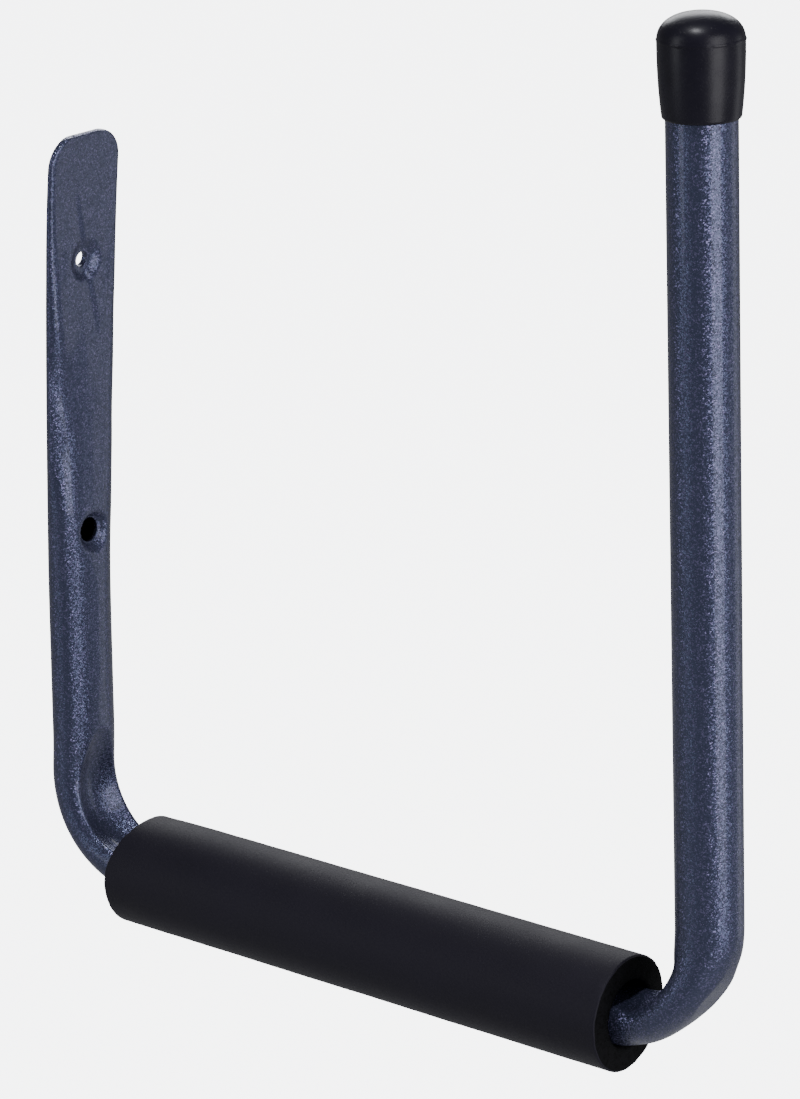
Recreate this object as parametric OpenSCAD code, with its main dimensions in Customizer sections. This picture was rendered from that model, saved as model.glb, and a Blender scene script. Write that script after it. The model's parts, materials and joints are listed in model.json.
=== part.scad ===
// Bicycle wall rack: one steel tube bent into a U, pressed flat where it screws
// to the wall, with a foam sleeve on the cradle and a push-on cap on the outer arm.
// The back of the pressed end lies on the wall, the plane X = 0. X runs away from
// the wall and Z up. The origin is midway between the two screw holes.

/* [Tube] */
// Outer diameter of the tube
tube_d = 25; // [22:0.5:32]
// Wall thickness of the tube
tube_wall = 1.5; // [1:0.1:2.2]

/* [Shape of the U] */
// Distance between the axes of the two arms, measured along the cradle
cradle_len = 304.5; // [240:0.5:400]
// Length of the outer arm, from the cradle's axis to the tube's open end
outer_arm_len = 363; // [280:1:460]
// Turn of each bend; above 90 the arms lean in
bend_turn = 91; // [88:0.5:95]
// Radius of the bend at the wall, to the tube's axis
wall_bend_r = 39; // [34:1:50]
// Radius of the outer bend, to the tube's axis
outer_bend_r = 31; // [30:1:56]
// Lean of the wall arm's round part, so that the pressed end alone lies on the wall
arm_tilt = 5.5; // [3.5:0.5:8]

/* [Marks of the bending press] */
// Thickness lost from the inside of the wall bend
wall_bend_squash = 4; // [1:0.5:6]
// Thickness lost from the outside of the outer bend, which is pressed flat
outer_bend_flat = 8; // [2:0.5:8]
// Distance that both marks run on past the ends of a bend
press_reach = 13; // [8:1:16]
// Depth of the kidney-shaped dish on the inside of each bend
dish_depth = 5; // [2:0.5:7]
// Half of the dish's width
dish_half_w = 10; // [7:0.5:11]

/* [Pressed end] */
// Thickness of the tab, with both walls pressed together
tab_t = 3; // [2.5:0.1:5]
// Length of the tab that is fully flat
tab_len = 20; // [12:1:34]
// Radius of the tab's two corners
tab_corner_r = 12; // [4:1:16]
// Length over which the tube opens out again below the tab
taper_len = 160; // [130:1:200]
// How the taper opens: 1 is straight, more opens slowly at first
taper_curve = 1.25; // [1.1:0.05:1.5]
// Thickness of the tube below the taper
shank_t = 19.25; // [17:0.25:21.5]
// Length of straight tube from the taper to the wall bend
shank_len = 76; // [50:1:110]
// Width gained for each millimetre of thickness pressed out of the tube
press_spread = 1.61; // [1.5:0.01:1.65]

/* [Screw holes] */
// Distance between the two screw holes
hole_gap = 108.5; // [90:0.5:125]
// Distance from the top of the tab to the upper hole
hole_drop = 50; // [40:1:56]
// Diameter of the screw holes
screw_hole_d = 6; // [4:0.5:7]
// Diameter of the front opening that lets the lower screw in
access_hole_d = 9.5; // [8.5:0.5:10.5]
// Radius of the dimple pressed in around the upper hole
dimple_r = 10; // [7:0.5:11]

/* [Foam sleeve] */
// Thickness of the foam
foam_t = 8.25; // [6:0.25:12]
// Gap all round between the tube and the foam, past what the wall bend takes up
foam_play = 0.1; // [0:0.1:2]
// How far the sleeve runs onto the wall bend
sleeve_on_bend = 10.5; // [0:0.5:11]
// Bare tube between the sleeve and the outer bend
sleeve_bare = 4.5; // [4:0.5:40]

/* [End cap] */
// Length of the tube that the cap covers
cap_skirt = 26.5; // [18:0.5:34]
// Wall of the cap at its shoulder
cap_wall = 2.55; // [2:0.05:4]
// Wall of the cap at its mouth
cap_mouth_wall = 1.15; // [0.8:0.05:1.8]
// Height of the dome above the tube's end
cap_dome_h = 9.8; // [6:0.2:13]
// Depth of the hollow under the dome
cap_hollow_h = 4.5; // [0.5:0.5:5]
// Gap all round between the tube and the cap
cap_play = 0.05; // [0.02:0.01:0.1]

/* [Hidden] */

paint = [0.27, 0.30, 0.39];
foam_black = [0.11, 0.105, 0.13];
cap_black = [0.07, 0.07, 0.085];

arc_steps = 12;     // facets on each rounded side of a pressed section
taper_steps = 12;   // rings along the taper
bend_steps = 16;    // rings along a bend
hair = 0.05;        // a faceted end is this much inside the true tube it meets, all round
lap = 2;            // a faceted end runs this far inside the true tube
through = 1;        // a cut runs this far past what it cuts
full_flat = 1;      // a flat this wide on each side of the middle has true corners
near_d = tube_d - 2 * hair;

// A station of the tube is [x, z, heading, thickness, dish]. The heading is measured from +X
// towards +Z, and the inside of the U is on its left.
function along(heading) = [cos(heading), sin(heading)];
function inward(heading) = [-sin(heading), cos(heading)];
function clamp01(v) = min(max(v, 0), 1);
function flat_width(t) = press_spread * max(near_d - t, 0);

// The wall arm: pressed end, taper and shank
tab_top = hole_gap / 2 + hole_drop;
taper_end_z = tab_top - tab_len - taper_len;
down = -90;
shank_heading = down + arm_tilt;
function taper_t(u) = tab_t + (shank_t - tab_t) * pow(clamp01(u), taper_curve);
function pressed_t(z) = taper_t((tab_top - tab_len - z) / taper_len);
shank_top = [shank_t / 2, taper_end_z];
shank_end = shank_top + shank_len * along(shank_heading);

// The cradle, between the corners where the axes cross. A bend starts and ends its setback
// away from its corner
wall_setback = wall_bend_r * tan(bend_turn / 2);
outer_setback = outer_bend_r * tan(bend_turn / 2);
cradle_heading = shank_heading + bend_turn;
wall_corner = shank_end + wall_setback * along(shank_heading);
outer_corner = wall_corner + cradle_len * along(cradle_heading);
cradle_start = wall_corner + wall_setback * along(cradle_heading);
outer_bend_start = outer_corner - outer_setback * along(cradle_heading);

// The outer arm
arm_heading = cradle_heading + bend_turn;
arm_start = outer_corner + outer_setback * along(arm_heading);
arm_end = outer_corner + outer_arm_len * along(arm_heading);

bore_d = tube_d - 2 * tube_wall;
sleeve_bend_sag = wall_bend_r * (1 - cos(sleeve_on_bend / wall_bend_r * 180 / PI));
sleeve_bore_r = tube_d / 2 + sleeve_bend_sag + foam_play;
cap_bore_r = tube_d / 2 + cap_play;
cap_r = cap_bore_r + cap_wall;
cap_mouth_r = cap_bore_r + cap_mouth_wall;
sleeve_start = cradle_start - sleeve_on_bend * along(cradle_heading);
sleeve_end = outer_bend_start - sleeve_bare * along(cradle_heading);
sleeve_len = norm(sleeve_end - sleeve_start);
cavity_top_z = hole_gap / 2 - dimple_r - 3 * tab_t / 2;

// One bend: it starts at a point, and the marks of the press swell and fade along it
function bend_station(start, heading, radius, s, t0, t1, from_inside, from_outside) =
    let (arc = radius * bend_turn * PI / 180,
         on_arc = clamp01(s / arc),
         turned = heading + bend_turn * on_arc,
         centre = start + radius * inward(heading),
         past = s - arc * on_arc,
         swell = pow(sin(180 * (s + press_reach) / (arc + 2 * press_reach)), 2),
         shift = swell * (from_inside - from_outside) / 2,
         t = t0 + (t1 - t0) * on_arc - swell * (from_inside + from_outside),
         p = centre - (radius + shift) * inward(turned) + past * along(turned))
    [p.x, p.y, turned, t, swell * dish_depth];

function bend(start, heading, radius, t0, t1, from_inside, from_outside) =
    let (arc = radius * bend_turn * PI / 180, step = (arc + 2 * press_reach) / bend_steps)
    [for (i = [0:bend_steps])
        bend_station(start, heading, radius, i * step - press_reach, t0, t1, from_inside, from_outside)];

function pushed(station, dist) =
    let (p = [station[0], station[1]] + dist * along(station[2]))
    [p.x, p.y, station[2], station[3], 0];

wall_arm_stations = concat(
    [[tab_t / 2, tab_top, down, tab_t, 0]],
    [for (i = [0:taper_steps])
        let (t = taper_t(i / taper_steps))
        [t / 2, tab_top - tab_len - taper_len * i / taper_steps, down, t, 0]],
    [for (i = [1:2])
        let (p = shank_top + shank_len * i / 3 * along(shank_heading))
        [p.x, p.y, shank_heading, shank_t, 0]]);
wall_bend_stations = bend(shank_end, shank_heading, wall_bend_r, shank_t, near_d,
    wall_bend_squash, 0);
outer_bend_stations = bend(outer_bend_start, cradle_heading, outer_bend_r, near_d, near_d,
    0, outer_bend_flat);

wall_sweep = concat(wall_arm_stations, wall_bend_stations,
    [pushed(wall_bend_stations[bend_steps], lap)]);
cavity_arm_stations = [for (s = wall_arm_stations) if (s[1] < cavity_top_z) s];
cavity_mouth = [pressed_t(cavity_top_z) / 2, cavity_top_z, down, pressed_t(cavity_top_z), 0];
cavity_sweep = concat([cavity_mouth], cavity_arm_stations, wall_bend_stations,
    [pushed(wall_bend_stations[bend_steps], lap)]);
outer_sweep = concat([pushed(outer_bend_stations[0], -lap)], outer_bend_stations,
    [pushed(outer_bend_stations[bend_steps], lap)]);

// A pressed section: two round sides with flats between, dished on the side facing into the U.
// As the flats vanish, each round side stops half a facet short, so the points spread evenly
function ring(station, wall) =
    let (r = station[3] / 2 - wall,
         half_flat = flat_width(station[3]) / 2,
         half_turn = 90 - 90 / (arc_steps + 1) * (1 - clamp01(half_flat / full_flat)),
         dir = inward(station[2]))
    [for (k = [0:2 * arc_steps + 1])
        let (side = k <= arc_steps ? 1 : -1,
             angle = side * half_turn * (2 * (k % (arc_steps + 1)) / arc_steps - 1),
             y = side * (half_flat + r * cos(angle)),
             level = r * sin(angle),
             dished = level > 0 ? station[4] * pow(cos(90 * clamp01(abs(y) / dish_half_w)), 2) : 0,
             depth = level - dished)
        [station[0] + dir.x * depth, y, station[1] + dir.y * depth]];

module sweep(stations, wall) {
    n = 2 * arc_steps + 2;
    last = len(stations) - 1;
    points = [for (s = stations) each ring(s, wall)];
    sides = [for (i = [0:last - 1]) for (k = [0:n - 1])
        [(i + 1) * n + k, (i + 1) * n + (k + 1) % n, i * n + (k + 1) % n, i * n + k]];
    first_end = [[for (k = [0:n - 1]) k]];
    last_end = [[for (k = [0:n - 1]) last * n + n - 1 - k]];
    polyhedron(points = points, faces = concat(sides, first_end, last_end), convexity = 6);
}

// Places its children at a point of the U's plane, with their Z along a heading
module at(p, heading) {
    translate([p.x, 0, p.y]) rotate([0, 90 - heading, 0]) children();
}

module straight_run(d, from, to, heading, past_end) {
    at(from, heading) cylinder(d = d, h = norm(to - from) + past_end, $fn = 96);
}

// The straight runs start and end inside the last lap of each bend
module straights(d, past_end) {
    from_bend = press_reach + lap / 2;
    straight_run(d, cradle_start + from_bend * along(cradle_heading),
        outer_bend_start - from_bend * along(cradle_heading), cradle_heading, 0);
    straight_run(d, arm_start + from_bend * along(arm_heading), arm_end, arm_heading, past_end);
}

// What the round-cornered tab leaves of the square end
module corner_cuts() {
    half_w = (tab_t + flat_width(tab_t)) / 2;
    for (side = [-1, 1])
        translate([-through, side * half_w, tab_top])
            rotate([0, 90, 0])
                difference() {
                    translate([-through, side > 0 ? -tab_corner_r : -through, 0])
                        cube([tab_corner_r + through, tab_corner_r + through, tab_t + 2 * through]);
                    translate([tab_corner_r, -side * tab_corner_r, -through])
                        cylinder(r = tab_corner_r, h = tab_t + 4 * through, $fn = 64);
                }
}

module hole_along_x(d, z, from, to) {
    translate([from, 0, z]) rotate([0, 90, 0]) cylinder(d = d, h = to - from, $fn = 48);
}

// The dimple that brings the front wall down onto the back wall at the upper hole
module upper_dimple() {
    front = pressed_t(hole_gap / 2);
    sink = front - tab_t;
    ball_r = (pow(dimple_r, 2) + pow(sink, 2)) / (2 * sink);
    translate([tab_t + ball_r, 0, hole_gap / 2]) sphere(r = ball_r, $fn = 96);
}

module bent_tube() {
    difference() {
        union() {
            sweep(wall_sweep, 0);
            sweep(outer_sweep, 0);
            straights(tube_d, 0);
        }
        union() {
            sweep(cavity_sweep, tube_wall);
            sweep(outer_sweep, tube_wall);
            straights(bore_d, through);
        }
    }
}

module frame_tube() {
    front_low = pressed_t(-hole_gap / 2);
    color(paint)
        difference() {
            bent_tube();
            corner_cuts();
            upper_dimple();
            hole_along_x(screw_hole_d, hole_gap / 2, -through, tab_t + through);
            hole_along_x(screw_hole_d, -hole_gap / 2, -through, front_low / 2);
            hole_along_x(access_hole_d, -hole_gap / 2, front_low / 2, front_low + through);
        }
}

module foam_sleeve() {
    color(foam_black)
        at(sleeve_start, cradle_heading)
            difference() {
                cylinder(r = sleeve_bore_r + foam_t, h = sleeve_len, $fn = 128);
                translate([0, 0, -through])
                    cylinder(r = sleeve_bore_r, h = sleeve_len + 2 * through, $fn = 96);
            }
}

// Half of the cap's section, as [radius, height] with the tube's end at height 0
dome_power = 2.3;
skirt_power = 2.2;
cap_section = concat(
    [for (a = [0:30:90]) [cap_bore_r + cap_mouth_wall * sin(a), -cap_skirt + cap_mouth_wall * (1 - cos(a))]],
    [for (i = [1:8])
        let (h = cap_mouth_wall + (cap_skirt - cap_mouth_wall) * i / 8)
        [cap_r - (cap_r - cap_mouth_r) * pow((cap_skirt - h) / (cap_skirt - cap_mouth_wall), skirt_power),
            h - cap_skirt]],
    [for (a = [9:9:90]) [cap_r * pow(cos(a), 2 / dome_power), cap_dome_h * pow(sin(a), 2 / dome_power)]],
    [[0, cap_hollow_h], [bore_d / 2, cap_hollow_h], [bore_d / 2, 0], [cap_bore_r, 0]]);

module end_cap() {
    color(cap_black)
        at(arm_end, arm_heading)
            rotate_extrude($fn = 128) polygon(cap_section);
}

frame_tube();
foam_sleeve();
end_cap();
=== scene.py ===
import json
import math

import bmesh
import bpy
from mathutils import Matrix, Vector, noise


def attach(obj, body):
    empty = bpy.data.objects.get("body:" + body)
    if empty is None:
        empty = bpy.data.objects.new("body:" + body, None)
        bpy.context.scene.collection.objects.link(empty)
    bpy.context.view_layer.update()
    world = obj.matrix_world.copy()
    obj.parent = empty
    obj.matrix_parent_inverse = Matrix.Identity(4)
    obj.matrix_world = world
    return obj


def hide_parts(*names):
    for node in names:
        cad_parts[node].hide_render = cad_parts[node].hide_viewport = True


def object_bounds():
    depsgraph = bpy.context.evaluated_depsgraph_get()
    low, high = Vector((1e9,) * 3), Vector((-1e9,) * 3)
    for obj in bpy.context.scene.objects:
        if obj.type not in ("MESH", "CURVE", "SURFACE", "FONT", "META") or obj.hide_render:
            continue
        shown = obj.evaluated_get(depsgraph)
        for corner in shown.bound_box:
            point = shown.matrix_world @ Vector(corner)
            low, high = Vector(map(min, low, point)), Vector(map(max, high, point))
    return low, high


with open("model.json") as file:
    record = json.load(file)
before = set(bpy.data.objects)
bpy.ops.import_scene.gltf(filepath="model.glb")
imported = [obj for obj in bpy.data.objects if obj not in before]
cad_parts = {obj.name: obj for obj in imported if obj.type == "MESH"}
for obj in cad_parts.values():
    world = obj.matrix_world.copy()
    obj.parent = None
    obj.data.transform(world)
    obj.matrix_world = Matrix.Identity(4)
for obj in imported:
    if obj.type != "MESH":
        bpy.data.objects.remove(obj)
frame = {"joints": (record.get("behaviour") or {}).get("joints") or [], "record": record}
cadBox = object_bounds()
mm = 0.001  # pieces are shaped in millimetres and scaled to metres when they are finished
joints = {joint["name"]: joint for joint in frame["joints"]}
mounts = {mount["name"]: mount for mount in frame["record"]["mounts"]}
print("frame loaded")


# Camera

shot = {
    "place": (1.063, -1.1797, 0.5842),
    "turn": 37.24,  # degrees about Z
    "dip": 22.02,  # degrees below the horizon
    "roll": 4.43,
    "lens": 142.44,
}


def makeCamera():
    data = bpy.data.cameras.new("camera")
    data.lens = shot["lens"]
    data.sensor_width = 36
    data.clip_start, data.clip_end = 0.05, 60
    camera = bpy.data.objects.new("camera", data)
    bpy.context.scene.collection.objects.link(camera)
    facing = (
        Matrix.Rotation(math.radians(shot["turn"]), 4, "Z")
        @ Matrix.Rotation(math.radians(90 - shot["dip"]), 4, "X")
        @ Matrix.Rotation(math.radians(shot["roll"]), 4, "Z")
    )
    camera.matrix_world = Matrix.Translation(shot["place"]) @ facing
    bpy.context.scene.camera = camera


makeCamera()
print("camera placed")


# Small helpers


def clamp01(value):
    return min(max(value, 0.0), 1.0)


def smoothStep(low, high, value):
    share = clamp01((value - low) / (high - low))
    return share * share * (3 - 2 * share)


def softPositive(value, softness):
    return (value + math.sqrt(value * value + softness * softness)) / 2


def alongHeading(heading):
    return Vector((math.cos(heading), 0, math.sin(heading)))


def inwardOf(heading):
    return Vector((-math.sin(heading), 0, math.cos(heading)))


def headingOf(joint):
    axis = joint["axis"]
    return math.atan2(axis[2], axis[0])


def spinRound(bm, axis, steps):
    bmesh.ops.spin(
        bm,
        geom=list(bm.verts) + list(bm.edges),
        cent=(0, 0, 0),
        axis=axis,
        angle=math.tau,
        steps=steps,
        use_merge=True,
    )
    bmesh.ops.remove_doubles(bm, verts=bm.verts, dist=0.001)


def finishPiece(bm, name, materials, body, node):
    bmesh.ops.recalc_face_normals(bm, faces=bm.faces)
    openEdges = sum(not edge.is_manifold for edge in bm.edges)
    print(name, "made:", len(bm.faces), "faces,", openEdges, "open edges")
    bmesh.ops.scale(bm, vec=(mm, mm, mm), verts=bm.verts)
    for face in bm.faces:
        face.smooth = True
    mesh = bpy.data.meshes.new(name)
    bm.to_mesh(mesh)
    bm.free()
    for material in materials:
        mesh.materials.append(material)
    piece = bpy.data.objects.new(name, mesh)
    bpy.context.scene.collection.objects.link(piece)
    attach(piece, body)
    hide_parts(node)
    return piece


# Bent tube: its run goes from the top of the pressed tab to the open end of the outer arm

tube = {
    "diameter": 25.0,
    "wall": 1.5,
    "cradle": 304.5,  # between the corners where the axes cross
    "outerArm": 363.0,  # from the cradle's axis to the open end
    "wallBendRadius": 39.0,
    "outerBendRadius": 31.0,
    "shank": 76.0,  # straight part of the wall arm between the taper and the wall bend
    "shankThickness": 19.25,
    "tabThickness": 3.0,
    "tabLength": 20.0,
    "tabCorner": 12.0,
    "tabEdge": 0.45,  # rounding of the tab's top edge
    "taperLength": 160.0,
    "taperCurve": 1.25,
    "pressSpread": 1.61,  # width gained for each millimetre pressed out
    "pressReach": 13.0,  # how far a bend's marks run on past its ends
    "wallBendSquash": 4.0,
    "outerBendFlat": 8.0,
    "softenArm": 12.0,  # how far the wall arm's kinks are eased out
    "softenBend": 3.0,
    "ringPoints": 112,
    "endLip": 0.35,  # rounding of the open end's rim
    "flatEase": 0.5,  # how softly a flat runs into the round side
    "wave": 0.22,  # unevenness of the pressed front
}
# kidney-shaped dishes on the inside of the two bends
wallKidney = {
    "halfWidth": 11.2,
    "before": 15.0,  # how far the dish runs on past the bend's two ends
    "after": 8.0,
    "power": 2.2,  # 2 is an ellipse, and more is squarer
    "rimSoftness": 0.035,
    "depth": 7.0,
}
outerKidney = {
    "halfWidth": 12.0,
    "before": 30.0,
    "after": 6.0,
    "power": 2.4,
    "rimSoftness": 0.06,
    "depth": 8.0,
}
# flat with a crease on the outside of the outer bend
facet = {"from": 24.0, "peak": 37.0, "to": 54.0, "depth": 1.3}
# a hole has a flat round it, then a dimple that runs out to the skin, and its edge is rounded by its lip
upperHole = {"radius": 3.0, "flat": 3.8, "dimple": 9.0, "lip": 0.3}
lowerHole = {"radius": 3.0, "access": 4.75, "flat": 4.6, "dimple": 8.8, "sink": 3.2, "lip": 0.45}
# the fold that the punch leaves above and below the upper hole
stroke = {"gentle": 6.0, "steep": 1.9, "halfLength": 34.0, "slant": 0.2, "depth": 0.55}
# one shoulder of the pressed end sits lower than the other
slump = {"from": 74.0, "full": 104.0, "fade": 124.0, "to": 150.0, "y": -5.5, "slope": 0.3, "softness": 4.0}
paintedSkin, bareSkin = 0, 1  # the tube's two material slots

holeGap = mounts["screw_holes"]["dims"]["spacing_y_mm"]
wallCorner = Vector(joints["sleeve_turn"]["pos_m"]) / mm
cradleHeading = headingOf(joints["sleeve_turn"])
armHeading = headingOf(joints["cap_pull"])
bendTurn = armHeading - cradleHeading
shankHeading = cradleHeading - bendTurn
downHeading = -math.pi / 2
wallSetback = tube["wallBendRadius"] * math.tan(bendTurn / 2)
outerSetback = tube["outerBendRadius"] * math.tan(bendTurn / 2)

shankEnd = wallCorner - wallSetback * alongHeading(shankHeading)
shankTop = shankEnd - tube["shank"] * alongHeading(shankHeading)
cradleStart = wallCorner + wallSetback * alongHeading(cradleHeading)
outerCorner = wallCorner + tube["cradle"] * alongHeading(cradleHeading)
outerBendStart = outerCorner - outerSetback * alongHeading(cradleHeading)
armStart = outerCorner + outerSetback * alongHeading(armHeading)
armEnd = outerCorner + tube["outerArm"] * alongHeading(armHeading)
tabTop = shankTop.z + tube["taperLength"] + tube["tabLength"]

runShank = tube["tabLength"] + tube["taperLength"]
runWallBend = runShank + tube["shank"]
runCradle = runWallBend + tube["wallBendRadius"] * bendTurn
runOuterBend = runCradle + tube["cradle"] - wallSetback - outerSetback
runArm = runOuterBend + tube["outerBendRadius"] * bendTurn
runEnd = runArm + tube["outerArm"] - outerSetback
runUpperHole = tabTop - holeGap / 2
runLowerHole = tabTop + holeGap / 2


def bendCentreline(start, heading, radius, turned):
    centre = start + radius * inwardOf(heading)
    return centre - radius * inwardOf(heading + turned), heading + turned


def rawPlace(run):
    # the centreline's point and heading, and the tube's thickness, before the marks of the press
    if run <= runShank:
        opened = clamp01((run - tube["tabLength"]) / tube["taperLength"])
        gain = tube["shankThickness"] - tube["tabThickness"]
        thickness = tube["tabThickness"] + gain * opened ** tube["taperCurve"]
        return Vector((thickness / 2, 0, tabTop - run)), downHeading, thickness
    if run <= runWallBend:
        point = shankTop + (run - runShank) * alongHeading(shankHeading)
        return point, shankHeading, tube["shankThickness"]
    if run <= runCradle:
        turned = (run - runWallBend) / tube["wallBendRadius"]
        point, heading = bendCentreline(shankEnd, shankHeading, tube["wallBendRadius"], turned)
        gain = tube["diameter"] - tube["shankThickness"]
        return point, heading, tube["shankThickness"] + gain * turned / bendTurn
    if run <= runOuterBend:
        point = cradleStart + (run - runCradle) * alongHeading(cradleHeading)
        return point, cradleHeading, tube["diameter"]
    if run <= runArm:
        turned = (run - runOuterBend) / tube["outerBendRadius"]
        point, heading = bendCentreline(outerBendStart, cradleHeading, tube["outerBendRadius"], turned)
        return point, heading, tube["diameter"]
    point = armStart + (run - runArm) * alongHeading(armHeading)
    return point, armHeading, tube["diameter"]


def pressSwell(run, start, end):
    reach = tube["pressReach"]
    share = (run - start + reach) / (end - start + 2 * reach)
    return math.sin(math.pi * share) ** 2 if 0 < share < 1 else 0.0


def placeAt(run):
    # rawPlace with its kinks eased out, and with the press's marks on the bends
    if run < runWallBend - tube["pressReach"]:
        window = min(tube["softenArm"], run)
    else:
        window = min(tube["softenBend"], runEnd - run)
    point, heading, thickness = Vector(), 0.0, 0.0
    weights = (1, 2, 3, 2, 1)
    for index, weight in enumerate(weights):
        share = weight / sum(weights)
        rawPoint, rawHeading, rawThickness = rawPlace(run + window * (index - 2) / 2)
        point += share * rawPoint
        heading += share * rawHeading
        thickness += share * rawThickness
    fromInside = tube["wallBendSquash"] * pressSwell(run, runWallBend, runCradle)
    fromOutside = tube["outerBendFlat"] * pressSwell(run, runOuterBend, runArm)
    point += (fromOutside - fromInside) / 2 * inwardOf(heading)
    return point, heading, thickness - fromInside - fromOutside


def kidneyDepth(kidney, run, y, bendStart, bendEnd):
    middle = (bendStart + bendEnd + kidney["after"] - kidney["before"]) / 2
    halfLength = (bendEnd - bendStart + kidney["after"] + kidney["before"]) / 2
    power = kidney["power"]
    apart = (abs(run - middle) / halfLength) ** power + (abs(y) / kidney["halfWidth"]) ** power
    fill = 1 - apart ** (2 / power)
    return kidney["depth"] * softPositive(fill, kidney["rimSoftness"]) if fill > -0.8 else 0.0


def strokeDepth(run, y):
    down = run - runUpperHole
    fade = 1 - smoothStep(0.1, 1.0, abs(down) / stroke["halfLength"])
    off = y - stroke["slant"] * down
    if off < 0:
        across = smoothStep(-stroke["gentle"], 0, off)
    else:
        across = 1 - smoothStep(0, stroke["steep"], off)
    return stroke["depth"] * fade * across


def slumpDepth(run, y, level):
    window = smoothStep(slump["from"], slump["full"], run)
    window *= 1 - smoothStep(slump["fade"], slump["to"], run)
    depth = window * slump["slope"] * softPositive(slump["y"] - y, slump["softness"])
    return level * (1 - math.exp(-depth / level)) if window > 0 and level > 0.01 else 0.0


def frontSink(run, y, thickness):
    # how far the side that faces into the U is pushed in
    sink = kidneyDepth(wallKidney, run, y, runWallBend, runCradle)
    sink += kidneyDepth(outerKidney, run, y, runOuterBend, runArm)
    away = math.hypot(run - runUpperHole, y)
    if away < stroke["halfLength"]:
        toFlat = thickness - tube["tabThickness"]
        sink += toFlat * (1 - smoothStep(upperHole["flat"], upperHole["dimple"], away))
        sink += strokeDepth(run, y) * smoothStep(upperHole["flat"], upperHole["flat"] + 3, away)
    away = math.hypot(run - runLowerHole, y)
    sink += lowerHole["sink"] * (1 - smoothStep(lowerHole["flat"], lowerHole["dimple"], away))
    if run < runCradle:
        pressed = smoothStep(tube["tabLength"], runUpperHole, run)
        pressed *= 1 - smoothStep(runWallBend - 20, runCradle, run)
        sink += tube["wave"] * pressed * (0.5 + noise.noise(Vector((y / 9, run / 21, 2))))
    return sink


def facetDepth(run):
    at = run - runOuterBend
    rise = smoothStep(facet["from"], facet["peak"], at)
    fall = 1 - smoothStep(facet["peak"], facet["to"], at)
    return facet["depth"] * rise * fall


def pressedQuarter(reach, halfFlat, radius):
    # across and up to a point of a pressed section: half its flat, then a quarter circle
    if reach <= halfFlat:
        return reach, radius
    angle = (reach - halfFlat) / radius
    return halfFlat + radius * math.sin(angle), radius * math.cos(angle)


def tubeSection(run, share, inset):
    # share goes once round from the middle of the side that faces into the U
    point, heading, thickness = placeAt(run)
    radius = thickness / 2 - inset
    halfFlat = tube["pressSpread"] * max(tube["diameter"] - thickness, 0.0) / 2
    quarter = halfFlat + radius * math.pi / 2
    turnedBack = min(share, 1 - share) * 4  # 0 at the front, 1 at the side, 2 at the back
    reach = min(turnedBack, 2 - turnedBack) * quarter
    # the flat runs softly into the round side
    ease = tube["flatEase"] * radius * smoothStep(0, 3, halfFlat)
    ease *= smoothStep(0, 1, (quarter - reach) / radius)
    eased = [pressedQuarter(reach + step * ease, halfFlat, radius) for step in (-1, 0, 1)]
    y, level = (sum(values) / 3 for values in zip(*eased))
    if turnedBack > 1:
        level = max(-level, facetDepth(run) - radius)
    else:
        side = y if share < 0.5 else -y
        level -= slumpDepth(run, side, level)
        level -= frontSink(run, side, thickness) * smoothStep(0, 1.5, level)
    if run < tube["tabCorner"]:
        corner, across = tube["tabCorner"], halfFlat + radius
        level *= 1 - edgeRound(run) / radius
        y *= (across - corner + math.sqrt(corner**2 - (corner - run) ** 2)) / across
    y = y if share < 0.5 else -y
    return point + level * inwardOf(heading) + Vector((0, y, 0))


def edgeRound(run):
    edge = tube["tabEdge"]
    return edge - math.sqrt(edge**2 - (edge - run) ** 2) if run < edge else 0.0


def addRuns(runs, end, step):
    # even rows from the last run up to the given one
    start = runs[-1]
    count = max(round((end - start) / step), 1)
    for index in range(1, count + 1):
        runs.append(start + (end - start) * index / count)


def outerRuns():
    corner = tube["tabCorner"]
    runs = [corner * (1 - math.cos(math.radians(angle))) for angle in (0, 3, 6, 9, 12, 15, 18)]
    runs += [corner * (1 - math.cos(math.radians(angle))) for angle in range(24, 91, 6)]
    reach = tube["pressReach"] + 3
    addRuns(runs, runUpperHole - 12, 1.8)
    addRuns(runs, runUpperHole + 12, 0.7)
    addRuns(runs, runLowerHole - 11, 2.0)
    addRuns(runs, runLowerHole + 11, 0.7)
    addRuns(runs, runWallBend - reach, 2.4)
    addRuns(runs, runCradle + reach, 1.2)
    addRuns(runs, runOuterBend - reach, 8)
    addRuns(runs, runArm + reach, 1.1)
    addRuns(runs, runEnd - tube["endLip"], 6)
    return runs


def innerRuns():
    # the hollow starts below the upper hole, where the pressed walls part
    runs = [runUpperHole + upperHole["dimple"] + 4]
    addRuns(runs, runLowerHole - 10, 4)
    addRuns(runs, runLowerHole + 10, 0.8)
    addRuns(runs, runWallBend, 8)
    addRuns(runs, runCradle, 2.5)
    addRuns(runs, runOuterBend, 12)
    addRuns(runs, runArm, 2.5)
    addRuns(runs, runEnd, 12)
    return runs


def rollSkin(bm, runs, inset, skin):
    # a flat sheet with one row for each run, rolled up into the tube's skin
    points = tube["ringPoints"]
    sheet = bmesh.ops.create_grid(bm, x_segments=points, y_segments=len(runs) - 1, size=1)["verts"]
    for vert in sheet:
        share = (vert.co.x + 1) / 2 % 1
        row = round((vert.co.y + 1) / 2 * (len(runs) - 1))
        vert.co = tubeSection(runs[row], share, inset)
    for face in {face for vert in sheet for face in vert.link_faces}:
        face.material_index = skin
    bmesh.ops.remove_doubles(bm, verts=sheet, dist=0.001)


def rimNear(bm, test):
    rim = [edge for edge in bm.edges if edge.is_boundary]
    return [edge for edge in rim if all(test(vert.co) for vert in edge.verts)]


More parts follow.
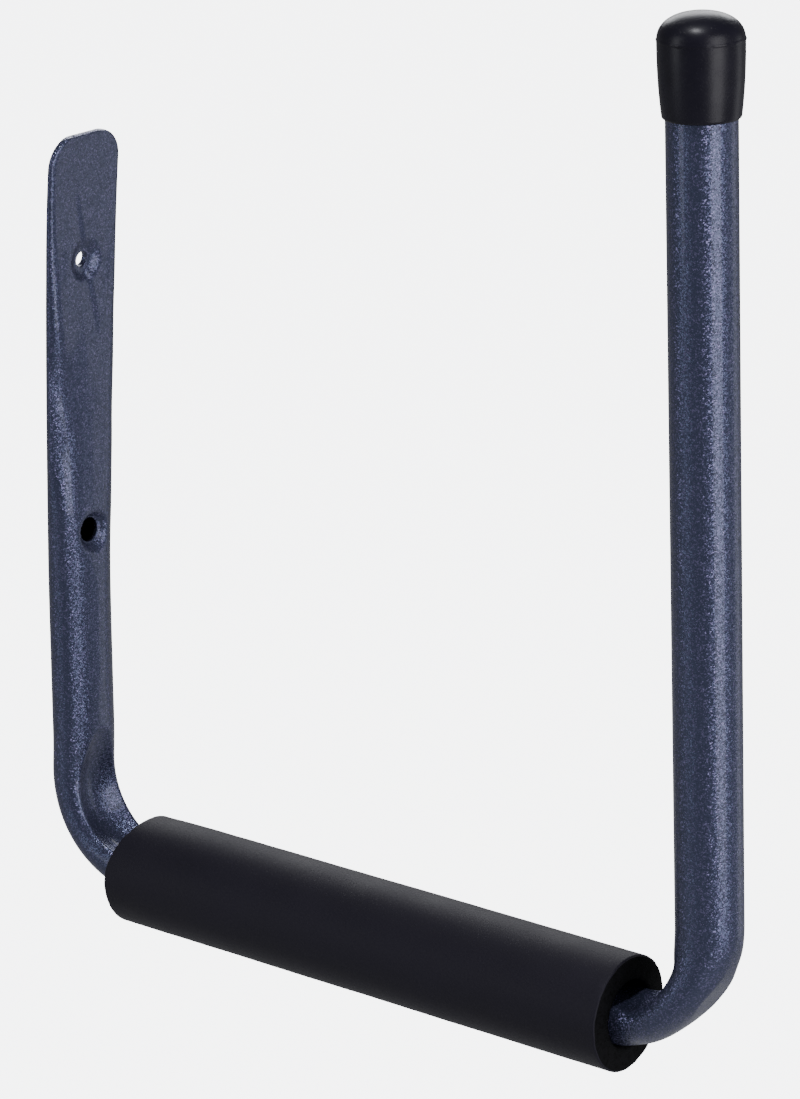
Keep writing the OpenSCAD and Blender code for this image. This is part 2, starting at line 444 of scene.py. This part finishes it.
def pierce(bm, z, radius, front, skin):
    # opens a round hole along X through one side of a skin, and gives back its rim
    middle = rawPlace(tabTop - z)[2] / 2
    spread = 2.5

    def away(co):
        return math.hypot(co.y, co.z - z)

    def onSide(co):
        return co.x < 2 * tube["diameter"] and (co.x > middle) == front

    gone = []
    for face in bm.faces:
        centre = face.calc_center_median()
        if face.material_index == skin and away(centre) < radius and onSide(centre):
            gone.append(face)
    edges = {edge for face in gone for edge in face.edges}
    rim = [edge for edge in edges if any(face not in gone for face in edge.link_faces)]
    bmesh.ops.delete(bm, geom=gone, context="FACES")
    rimVerts = {vert for edge in rim for vert in edge.verts}
    for vert in rimVerts:
        share = radius / away(vert.co)
        vert.co.y *= share
        vert.co.z = z + (vert.co.z - z) * share
    # the rows next to the rim spread out to make room for it
    around = {vert for face in bm.faces if face.material_index == skin for vert in face.verts} - rimVerts
    around = [vert for vert in around if away(vert.co) < radius + spread and onSide(vert.co)]
    for _ in range(3):
        bmesh.ops.smooth_vert(bm, verts=around, factor=0.5, use_axis_y=True, use_axis_z=True)
    inset = tube["wall"] if skin == bareSkin else 0.0
    for vert in list(rimVerts) + around:
        vert.co.x = skinX(vert.co.y, vert.co.z, inset, front)
    return rim


def skinX(y, z, inset, front):
    # where one side of the pressed end's skin lies over a point of the wall
    point, _, thickness = placeAt(tabTop - z)
    radius = thickness / 2 - inset
    over = max(abs(y) - tube["pressSpread"] * (tube["diameter"] - thickness) / 2, 0.0)
    level = math.sqrt(max(radius**2 - over**2, 0.0))
    if front:
        return point.x + level - frontSink(tabTop - z, y, thickness)
    return point.x - level


def extrudeRim(bm, rim, move):
    # one more row round a rim, each of its points moved by the given function
    made = bmesh.ops.extrude_edge_only(bm, edges=rim)["geom"]
    for vert in [item for item in made if isinstance(item, bmesh.types.BMVert)]:
        vert.co += move(vert.co)
    return [item for item in made if isinstance(item, bmesh.types.BMEdge) and item.is_boundary]


def turnIn(bm, rim, z, lip, side):
    # rounds a hole's edge over into the metal; side is 1 at the front and -1 at the back
    steps = 4
    for index in range(steps):
        before, after = (math.pi / 2 * (index + at) / steps for at in (0, 1))
        narrower = lip * (math.sin(after) - math.sin(before))
        deeper = lip * (math.cos(before) - math.cos(after))

        def move(co):
            out = Vector((0, co.y, co.z - z)).normalized()
            return -narrower * out - Vector((deeper * side, 0, 0))

        rim = extrudeRim(bm, rim, move)
    return rim


def makeTube(paint, bareSteel):
    bm = bmesh.new()
    rollSkin(bm, outerRuns(), 0.0, paintedSkin)
    rollSkin(bm, innerRuns(), tube["wall"], bareSkin)
    endRims = rimNear(bm, lambda co: (co - armEnd).length < tube["diameter"])
    tabRim = rimNear(bm, lambda co: co.z > tabTop - 1)
    tabRim = [edge for edge in tabRim if all(vert.co.x < tube["diameter"] for vert in edge.verts)]
    hollowTop = tabTop - innerRuns()[0]
    hollowRim = rimNear(bm, lambda co: abs(co.z - hollowTop) < 0.5 and co.x < tube["diameter"])

    # the tab's top is closed and slightly sunk, and the top of the hollow is closed
    top = bmesh.ops.edgeloop_fill(bm, edges=tabRim)["faces"]
    bmesh.ops.inset_region(bm, faces=top, thickness=0.75, depth=-0.25, use_even_offset=True)
    for face in bmesh.ops.edgeloop_fill(bm, edges=hollowRim)["faces"]:
        face.material_index = bareSkin

    # the upper screw hole goes through both pressed walls
    z = holeGap / 2
    front = pierce(bm, z, upperHole["radius"] + upperHole["lip"], True, paintedSkin)
    back = pierce(bm, z, upperHole["radius"] + upperHole["lip"], False, paintedSkin)
    front = turnIn(bm, front, z, upperHole["lip"], 1)
    back = turnIn(bm, back, z, upperHole["lip"], -1)
    bmesh.ops.bridge_loops(bm, edges=front + back)

    # the lower screw goes in through a wider opening, and through the back wall
    z = -holeGap / 2
    for front, radius in ((True, lowerHole["access"]), (False, lowerHole["radius"])):
        outside = pierce(bm, z, radius + lowerHole["lip"], front, paintedSkin)
        outside = turnIn(bm, outside, z, lowerHole["lip"], 1 if front else -1)
        inside = pierce(bm, z, radius, front, bareSkin)
        bmesh.ops.bridge_loops(bm, edges=outside + inside)

    # the open end's rim is rounded over and joined to the bore
    lip = tube["endLip"]
    midWall = (tube["diameter"] - tube["wall"]) / 2
    outside = [edge for edge in endRims if (edge.verts[0].co - armEnd).length > midWall]
    inside = [edge for edge in endRims if edge not in outside]
    forward = alongHeading(armHeading)
    steps = 3
    for index in range(steps):
        before, after = (math.pi / 2 * (index + at) / steps for at in (0, 1))

        def move(co):
            out = co - armEnd
            out -= out.dot(forward) * forward
            narrower = lip * (math.cos(before) - math.cos(after))
            return lip * (math.sin(after) - math.sin(before)) * forward - narrower * out.normalized()

        outside = extrudeRim(bm, outside, move)
    bmesh.ops.bridge_loops(bm, edges=outside + inside)

    finishPiece(bm, "bent_tube", [paint, bareSteel], "rack", "frame_tube")


# Foam sleeve

sleeve = {
    "onBend": 10.5,  # how far it runs onto the wall bend
    "bare": 4.5,  # bare tube left before the outer bend
    "radius": 22.2,
    "boreRadius": 12.75,
    "wallFlare": (1.1, 18.0),  # how much wider the bore's mouth is, and how deep the flare goes
    "outerFlare": (0.5, 9.0),
    "edge": 0.7,
    "around": 144,
    "rowStep": 3.0,
    "boreRows": 40,
    "faceRows": 6,  # across each cut end
    "pressedEnd": 5.0,  # how far the bend pushes the top of the end back
    "pressedRound": 0.5,  # and how much that rounds it down
    "pressedReach": 26.0,
    "pressedFade": 30.0,
    "trimmedEnd": 2.2,  # how much the uneven cut takes off the other end's lower corner
    "trimmedReach": 16.0,
    "trimmedSide": (0.65, -0.55),  # which way that corner lies, across and up
    "unevenness": 0.12,
    "cutRoughness": 0.25,
}


def sleeveProfile(length):
    # (distance along, radius) points once round the wall: out over the skin and back through the bore
    edge, radius = sleeve["edge"], sleeve["radius"]
    turns = [math.radians(angle) for angle in (0, 22.5, 45, 67.5, 90)]
    corner = [(edge * math.sin(turn), radius - edge + edge * math.cos(turn)) for turn in turns]
    profile = [(edge - along, out) for along, out in reversed(corner)]
    rows = round((length - 2 * edge) / sleeve["rowStep"])
    profile += [(edge + (length - 2 * edge) * index / rows, radius) for index in range(1, rows)]
    profile += [(length - edge + along, out) for along, out in corner]
    inner = []
    for index in range(sleeve["boreRows"] + 1):
        x = length * index / sleeve["boreRows"]
        wide = sleeve["wallFlare"][0] * (1 - smoothStep(0, sleeve["wallFlare"][1], x))
        wide += sleeve["outerFlare"][0] * (1 - smoothStep(0, sleeve["outerFlare"][1], length - x))
        inner.append((x, sleeve["boreRadius"] + wide))
    profile += cutFace(length, radius - edge, inner[-1][1])
    profile += reversed(inner)
    profile += reversed(cutFace(0.0, radius - edge, inner[0][1]))
    return profile


def cutFace(x, outside, inside):
    rows = sleeve["faceRows"]
    return [(x, outside + (inside - outside) * index / rows) for index in range(1, rows)]


def makeSleeve(foam, cutFoam):
    length = tube["cradle"] - wallSetback - outerSetback + sleeve["onBend"] - sleeve["bare"]
    start = cradleStart - sleeve["onBend"] * alongHeading(cradleHeading)
    bm = bmesh.new()
    profile = [bm.verts.new((x, 0, radius)) for x, radius in sleeveProfile(length)]
    for index, vert in enumerate(profile):
        bm.edges.new((vert, profile[(index + 1) % len(profile)]))
    spinRound(bm, (1, 0, 0), sleeve["around"])
    for face in bm.faces:
        middle = face.calc_center_median()
        if math.hypot(middle.y, middle.z) < sleeve["radius"] - sleeve["edge"]:
            face.material_index = 1
    for vert in bm.verts:
        x, out = vert.co.x, math.hypot(vert.co.y, vert.co.z)
        across, up = vert.co.y / out, vert.co.z / out
        skin = smoothStep(sleeve["boreRadius"] + 2, sleeve["radius"], out)
        # the wall bend pushes the top of that end back and rounds it down
        pressed = max(up, 0) ** 2 * (1 - smoothStep(0, sleeve["pressedReach"], x)) * skin
        # the other end was cut by hand, and its lower corner is short
        sideways, upward = sleeve["trimmedSide"]
        low = clamp01(upward * up + sideways * across)
        trimmed = low**2 * smoothStep(length - sleeve["trimmedReach"], length, x) * skin
        wave = noise.noise(Vector((x / 40, vert.co.y / 18, vert.co.z / 18)))
        wave += 0.5 * noise.noise(Vector((x / 9, vert.co.y / 9, 7 + vert.co.z / 9)))
        shrink = sleeve["trimmedEnd"] * trimmed + sleeve["pressedRound"] * pressed
        shrink -= sleeve["unevenness"] * wave * skin
        vert.co.y *= 1 - shrink / out
        vert.co.z *= 1 - shrink / out
        vert.co.x += sleeve["pressedEnd"] * pressed * (1 - x / sleeve["pressedFade"])
        if x > length - 0.5 or x < 0.5:
            vert.co.x += sleeve["cutRoughness"] * noise.noise(Vector((vert.co.y / 3, vert.co.z / 3, x)))
    bmesh.ops.rotate(bm, verts=bm.verts, matrix=Matrix.Rotation(-cradleHeading, 3, "Y"))
    bmesh.ops.translate(bm, verts=bm.verts, vec=start)
    piece = finishPiece(bm, "foam_pipe", [foam, cutFoam], "sleeve", "foam_sleeve")


# End cap

cap = {
    "skirt": 26.5,  # how much of the arm it covers
    "play": 0.05,
    "wall": 2.55,
    "mouthWall": 1.15,  # the wall thins towards the open end
    "skirtPower": 2.2,
    "skirtRows": 34,
    "boreRows": 8,
    "domeHeight": 9.8,
    "domePower": 2.3,  # 2 is an ellipse, and more is squarer
    "hollowHeight": 4.5,
    "around": 144,
    "flashHeight": 0.5,  # above the tube's end
    "flash": 0.42,
    "flashWidth": 0.32,
}


def capProfile():
    # (radius, height) points from the dome's top down the outside and up the inside
    bore = tube["diameter"] / 2 + cap["play"]
    full, mouth = bore + cap["wall"], bore + cap["mouthWall"]
    power = 2 / cap["domePower"]
    profile = [(0.0, cap["domeHeight"])]
    for angle in range(88, -1, -2):
        turn = math.radians(angle)
        profile.append((full * math.cos(turn) ** power, cap["domeHeight"] * math.sin(turn) ** power))
    straight = cap["skirt"] - cap["mouthWall"]
    for index in range(1, cap["skirtRows"] + 1):
        down = (index / cap["skirtRows"]) ** 1.5  # closer rows near the dome, where the flash is
        profile.append((full - (full - mouth) * down ** cap["skirtPower"], -straight * down))
    for angle in range(15, 91, 15):
        turn = math.radians(angle)
        radius = bore + cap["mouthWall"] * math.cos(turn)
        profile.append((radius, -straight - cap["mouthWall"] * math.sin(turn)))
    for index in range(1, cap["boreRows"] + 1):
        profile.append((bore, -cap["skirt"] * (1 - index / cap["boreRows"])))
    inner = tube["diameter"] / 2 - tube["wall"]
    profile += [(inner, 0.0), (inner, cap["hollowHeight"]), (0.0, cap["hollowHeight"])]
    return profile


def makeCap(plastic):
    bm = bmesh.new()
    profile = [bm.verts.new((radius, 0, height)) for radius, height in capProfile()]
    for before, after in zip(profile, profile[1:]):
        bm.edges.new((before, after))
    spinRound(bm, (0, 0, 1), cap["around"])
    for vert in bm.verts:
        out = math.hypot(vert.co.x, vert.co.y)
        if out > tube["diameter"] / 2 + 1 and vert.co.z > -3:
            # ragged flash where the halves of the mould met
            angle = math.atan2(vert.co.y, vert.co.x)
            ragged = 0.6 + 0.8 * noise.noise(Vector((6 * math.cos(angle), 6 * math.sin(angle), 3)))
            off = (vert.co.z - cap["flashHeight"]) / cap["flashWidth"]
            grow = cap["flash"] * ragged * math.exp(-off * off)
            vert.co.x *= 1 + grow / out
            vert.co.y *= 1 + grow / out
    bmesh.ops.rotate(bm, verts=bm.verts, matrix=Matrix.Rotation(math.pi / 2 - armHeading, 3, "Y"))
    bmesh.ops.translate(bm, verts=bm.verts, vec=armEnd)
    finishPiece(bm, "push_on_cap", [plastic], "cap", "end_cap")


# Materials


def newMaterial(name):
    material = bpy.data.materials.new(name)
    material.use_nodes = True
    nodes, links = material.node_tree.nodes, material.node_tree.links
    return material, nodes, links, nodes["Principled BSDF"]


def newGroup(name, inputs, outputs):
    group = bpy.data.node_groups.new(name, "ShaderNodeTree")
    for label, default in inputs:
        socket = group.interface.new_socket(name=label, in_out="INPUT", socket_type="NodeSocketFloat")
        socket.default_value = default
    for label, kind in outputs:
        group.interface.new_socket(name=label, in_out="OUTPUT", socket_type=kind)
    return group, group.nodes, group.links


def addMath(nodes, kind, operation):
    node = nodes.new(kind)
    node.operation = operation
    return node


def cellColour(nodes, links, size):
    # a random colour for each cell of the given size
    perMetre = addMath(nodes, "ShaderNodeMath", "DIVIDE")
    perMetre.inputs[0].default_value = 1
    links.new(size, perMetre.inputs[1])
    coordinates = nodes.new("ShaderNodeTexCoord")
    cells = nodes.new("ShaderNodeTexVoronoi")
    links.new(coordinates.outputs["Object"], cells.inputs["Vector"])
    links.new(perMetre.outputs[0], cells.inputs["Scale"])
    return cells.outputs["Color"]


def speckleGroup():
    # fine specks of random brightness, with a slower cloud over them
    inputs = (("Grain size", 0.0004), ("Cloud size", 0.02), ("Share", 0.3))
    outputs = (("Specks", "NodeSocketFloat"), ("Cloud", "NodeSocketFloat"))
    group, nodes, links = newGroup("specks", inputs, outputs)
    given, result = nodes.new("NodeGroupInput"), nodes.new("NodeGroupOutput")
    bright = nodes.new("ShaderNodeSeparateColor")
    links.new(cellColour(nodes, links, given.outputs["Grain size"]), bright.inputs["Color"])
    lowEnd = addMath(nodes, "ShaderNodeMath", "SUBTRACT")
    lowEnd.inputs[0].default_value = 1
    links.new(given.outputs["Share"], lowEnd.inputs[1])
    chosen = nodes.new("ShaderNodeMapRange")
    chosen.interpolation_type = "SMOOTHSTEP"
    links.new(bright.outputs["Red"], chosen.inputs["Value"])
    links.new(lowEnd.outputs[0], chosen.inputs["From Min"])
    links.new(chosen.outputs["Result"], result.inputs["Specks"])
    cloudScale = addMath(nodes, "ShaderNodeMath", "DIVIDE")
    cloudScale.inputs[0].default_value = 1
    links.new(given.outputs["Cloud size"], cloudScale.inputs[1])
    coordinates = nodes.new("ShaderNodeTexCoord")
    cloud = nodes.new("ShaderNodeTexNoise")
    cloud.inputs["Detail"].default_value = 3
    links.new(coordinates.outputs["Object"], cloud.inputs["Vector"])
    links.new(cloudScale.outputs[0], cloud.inputs["Scale"])
    links.new(cloud.outputs["Fac"], result.inputs["Cloud"])
    return group


def flakeGroup():
    # every flake leans its own way, so that it flashes only near a highlight
    inputs = (("Flake size", 0.0004), ("Lean", 0.3))
    group, nodes, links = newGroup("flakes", inputs, (("Normal", "NodeSocketVector"),))
    given, result = nodes.new("NodeGroupInput"), nodes.new("NodeGroupOutput")
    surface = nodes.new("ShaderNodeNewGeometry")
    centred = addMath(nodes, "ShaderNodeVectorMath", "SUBTRACT")
    centred.inputs[1].default_value = (0.5, 0.5, 0.5)
    links.new(cellColour(nodes, links, given.outputs["Flake size"]), centred.inputs[0])
    leaning = addMath(nodes, "ShaderNodeVectorMath", "SCALE")
    links.new(centred.outputs[0], leaning.inputs[0])
    links.new(given.outputs["Lean"], leaning.inputs["Scale"])
    added = addMath(nodes, "ShaderNodeVectorMath", "ADD")
    links.new(surface.outputs["Normal"], added.inputs[0])
    links.new(leaning.outputs[0], added.inputs[1])
    unit = addMath(nodes, "ShaderNodeVectorMath", "NORMALIZE")
    links.new(added.outputs[0], unit.inputs[0])
    links.new(unit.outputs[0], result.inputs["Normal"])
    return group


specks = speckleGroup()
flakes = flakeGroup()


def addSpecks(nodes, grain, cloud, share):
    node = nodes.new("ShaderNodeGroup")
    node.node_tree = specks
    node.inputs["Grain size"].default_value = grain
    node.inputs["Cloud size"].default_value = cloud
    node.inputs["Share"].default_value = share
    return node


def mixColour(nodes, links, factor, first, second):
    node = nodes.new("ShaderNodeMix")
    node.data_type = "RGBA"
    links.new(factor, node.inputs["Factor"])
    # sockets 6 and 7, and the third output, are the node's colour ones
    for socket, value in ((6, first), (7, second)):
        if isinstance(value, tuple):
            node.inputs[socket].default_value = (*value, 1)
        else:
            links.new(value, node.inputs[socket])
    return node.outputs[2]


def mapValue(nodes, links, value, low, high):
    # a value from 0 to 1, made to run from low to high
    node = nodes.new("ShaderNodeMapRange")
    links.new(value, node.inputs["Value"])
    node.inputs["To Min"].default_value = low
    node.inputs["To Max"].default_value = high
    return node.outputs["Result"]


def addBump(nodes, links, height, distance, strength, normal=None):
    node = nodes.new("ShaderNodeBump")
    node.inputs["Distance"].default_value = distance
    node.inputs["Strength"].default_value = strength
    links.new(height, node.inputs["Height"])
    if normal is not None:
        links.new(normal, node.inputs["Normal"])
    return node.outputs["Normal"]


enamel = {
    "base": (0.057, 0.067, 0.125),
    "cloud": (0.068, 0.078, 0.142),
    "flake": (0.25, 0.215, 0.43),
    "flakeSize": 0.00042,
    "flakeShare": 0.3,
    "flakeMix": 0.5,  # how far a flake's colour covers the base
    "flakeLean": 0.4,
    "cloudSize": 0.03,
    "metallic": 0.7,
    "roughness": (0.30, 0.38),
    "coat": 0.24,
    "coatRoughness": 0.1,
}


def makeEnamel():
    material, nodes, links, shader = newMaterial("slate_flake_enamel")
    grain = addSpecks(nodes, enamel["flakeSize"], enamel["cloudSize"], enamel["flakeShare"])
    base = mixColour(nodes, links, grain.outputs["Cloud"], enamel["base"], enamel["cloud"])
    flaking = mapValue(nodes, links, grain.outputs["Specks"], 0, enamel["flakeMix"])
    links.new(mixColour(nodes, links, flaking, base, enamel["flake"]), shader.inputs["Base Color"])
    # the gloss varies in grains smaller than the flakes
    fine = addSpecks(nodes, enamel["flakeSize"] * 0.6, enamel["cloudSize"] * 0.4, 0.5)
    rough = mapValue(nodes, links, fine.outputs["Specks"], *enamel["roughness"])
    links.new(rough, shader.inputs["Roughness"])
    shader.inputs["Metallic"].default_value = enamel["metallic"]
    shader.inputs["Coat Weight"].default_value = enamel["coat"]
    shader.inputs["Coat Roughness"].default_value = enamel["coatRoughness"]
    leaning = nodes.new("ShaderNodeGroup")
    leaning.node_tree = flakes
    leaning.inputs["Flake size"].default_value = enamel["flakeSize"]
    leaning.inputs["Lean"].default_value = enamel["flakeLean"]
    links.new(leaning.outputs["Normal"], shader.inputs["Normal"])
    return material


# in the looks below, specks are the grain's size, the cloud's size and the share of bright grains,
# and a bump is its depth and strength

# the inside of the tube: its near-black colours are painted shade for the hollow, with lighter random
# patches over it
steelLook = {
    "base": (0.02, 0.02, 0.022),
    "worn": (0.06, 0.058, 0.06),
    "specks": (0.0006, 0.01, 0.4),
    "roughness": (0.5, 0.75),
    "metallic": 0.8,
}


def makeBareSteel():
    # near-black steel, painted shade for the inside of the tube
    material, nodes, links, shader = newMaterial("tube_inside_painted_shade")
    grain = addSpecks(nodes, *steelLook["specks"])
    colour = mixColour(nodes, links, grain.outputs["Cloud"], steelLook["base"], steelLook["worn"])
    links.new(colour, shader.inputs["Base Color"])
    rough = mapValue(nodes, links, grain.outputs["Specks"], *steelLook["roughness"])
    links.new(rough, shader.inputs["Roughness"])
    shader.inputs["Metallic"].default_value = steelLook["metallic"]
    return material


foamLook = {
    "base": (0.0070, 0.0058, 0.0125),
    "worn": (0.0125, 0.0105, 0.0205),
    "specks": (0.0007, 0.025, 0.35),
    "roughness": (0.52, 0.68),
    "sheen": 0.06,
    "sheenRoughness": 0.45,
    "specular": 0.22,
    "pores": (0.00016, 0.35),
    "waves": (0.0012, 0.15),
}


def makeFoam():
    material, nodes, links, shader = newMaterial("closed_cell_foam")
    grain = addSpecks(nodes, *foamLook["specks"])
    colour = mixColour(nodes, links, grain.outputs["Cloud"], foamLook["base"], foamLook["worn"])
    links.new(colour, shader.inputs["Base Color"])
    rough = mapValue(nodes, links, grain.outputs["Cloud"], *foamLook["roughness"])
    links.new(rough, shader.inputs["Roughness"])
    shader.inputs["Sheen Weight"].default_value = foamLook["sheen"]
    shader.inputs["Sheen Roughness"].default_value = foamLook["sheenRoughness"]
    shader.inputs["Specular IOR Level"].default_value = foamLook["specular"]
    pores = addBump(nodes, links, grain.outputs["Specks"], *foamLook["pores"])
    waves = addBump(nodes, links, grain.outputs["Cloud"], *foamLook["waves"], pores)
    links.new(waves, shader.inputs["Normal"])
    return material


# the sleeve's cut ends and its bore, where the cells are open
cutFoamLook = {
    "wall": (0.0045, 0.0045, 0.0055),
    "cell": (0.0015, 0.0015, 0.0018),
    "specks": (0.0009, 0.006, 0.45),
    "roughness": (0.8, 0.95),
    "specular": 0.12,
    "pores": (0.0003, 0.6),
    "waves": (0.001, 0.3),
}


def makeCutFoam():
    material, nodes, links, shader = newMaterial("cut_foam")
    grain = addSpecks(nodes, *cutFoamLook["specks"])
    colour = mixColour(nodes, links, grain.outputs["Specks"], cutFoamLook["wall"], cutFoamLook["cell"])
    links.new(colour, shader.inputs["Base Color"])
    rough = mapValue(nodes, links, grain.outputs["Cloud"], *cutFoamLook["roughness"])
    links.new(rough, shader.inputs["Roughness"])
    shader.inputs["Specular IOR Level"].default_value = cutFoamLook["specular"]
    pores = addBump(nodes, links, grain.outputs["Specks"], *cutFoamLook["pores"])
    waves = addBump(nodes, links, grain.outputs["Cloud"], *cutFoamLook["waves"], pores)
    links.new(waves, shader.inputs["Normal"])
    return material


plasticLook = {
    "base": (0.0055, 0.0048, 0.0100),
    "worn": (0.0105, 0.0092, 0.0180),
    "specks": (0.0009, 0.008, 0.4),
    "roughness": (0.26, 0.42),
    "specular": 0.28,
    "grain": (0.00008, 0.3),
    "waves": (0.0006, 0.15),
}


def makeCapPlastic():
    material, nodes, links, shader = newMaterial("moulded_black_plastic")
    grain = addSpecks(nodes, *plasticLook["specks"])
    colour = mixColour(nodes, links, grain.outputs["Cloud"], plasticLook["base"], plasticLook["worn"])
    links.new(colour, shader.inputs["Base Color"])
    shader.inputs["Specular IOR Level"].default_value = plasticLook["specular"]
    rough = mapValue(nodes, links, grain.outputs["Cloud"], *plasticLook["roughness"])
    links.new(rough, shader.inputs["Roughness"])
    fine = addBump(nodes, links, grain.outputs["Specks"], *plasticLook["grain"])
    waves = addBump(nodes, links, grain.outputs["Cloud"], *plasticLook["waves"], fine)
    links.new(waves, shader.inputs["Normal"])
    return material


makeTube(makeEnamel(), makeBareSteel())
makeSleeve(makeFoam(), makeCutFoam())
makeCap(makeCapPlastic())


# Floor, light and background

studio = {
    "floorDrop": 0.7,  # below the lowest point of the rack
    "floorSize": 30.0,
    "floorColour": (0.3, 0.3, 0.3),
    "paleGlow": 6.0,  # what the camera sees
    "roomGlow": 0.14,  # what lights the rack
    "glowColour": (0.97, 0.98, 1.0),
}
softboxes = (
    # name, place and size in metres, watts, colour; all of them face the middle of the rack
    ("key", (2.2, -0.4, 0.5), (1.3, 2.4), 38, (0.98, 0.97, 1.0)),
    ("side", (1.3, 1.7, -0.3), (0.7, 1.8), 4.5, (0.96, 0.97, 1.0)),
    ("strip", (-0.9, -1.9, 0.3), (0.7, 1.8), 10, (0.93, 0.96, 1.0)),
    ("top", (0.1, -0.6, 2.0), (0.3, 0.22), 22, (0.96, 0.97, 1.0)),
    ("back", (-1.1, 1.6, 0.75), (1.6, 0.8), 20, (0.96, 0.97, 1.0)),
)


def seenGlow(nodes, links):
    # bright behind the rack, dim where it would light the rack
    path = nodes.new("ShaderNodeLightPath")
    return mapValue(nodes, links, path.outputs["Is Camera Ray"], studio["roomGlow"], studio["paleGlow"])


def makeFloor():
    bm = bmesh.new()
    bmesh.ops.create_grid(bm, x_segments=1, y_segments=1, size=studio["floorSize"] / 2)
    bmesh.ops.translate(bm, verts=bm.verts, vec=(0, 0, cadBox[0].z - studio["floorDrop"]))
    mesh = bpy.data.meshes.new("floor")
    bm.to_mesh(mesh)
    bm.free()
    material, nodes, links, shader = newMaterial("pale_floor")
    shader.inputs["Base Color"].default_value = (*studio["floorColour"], 1)
    shader.inputs["Roughness"].default_value = 0.9
    shader.inputs["Emission Color"].default_value = (*studio["glowColour"], 1)
    links.new(seenGlow(nodes, links), shader.inputs["Emission Strength"])
    mesh.materials.append(material)
    floor = bpy.data.objects.new("floor", mesh)
    bpy.context.scene.collection.objects.link(floor)


def makeLights():
    middle = (cadBox[0] + cadBox[1]) / 2
    for name, place, size, watts, colour in softboxes:
        light = bpy.data.lights.new(name, "AREA")
        light.shape = "RECTANGLE"
        light.size, light.size_y = size
        light.energy = watts
        light.color = colour
        lamp = bpy.data.objects.new(name, light)
        bpy.context.scene.collection.objects.link(lamp)
        lamp.location = place
        lamp.visible_camera = False
        lamp.rotation_euler = (middle - Vector(place)).to_track_quat("-Z", "Y").to_euler()


def makeBackground():
    world = bpy.data.worlds.new("background")
    bpy.context.scene.world = world
    world.use_nodes = True
    sky = world.node_tree.nodes["Background"]
    sky.inputs["Color"].default_value = (*studio["glowColour"], 1)
    links = world.node_tree.links
    links.new(seenGlow(world.node_tree.nodes, links), sky.inputs["Strength"])


makeFloor()
makeLights()
makeBackground()
print("studio ready")
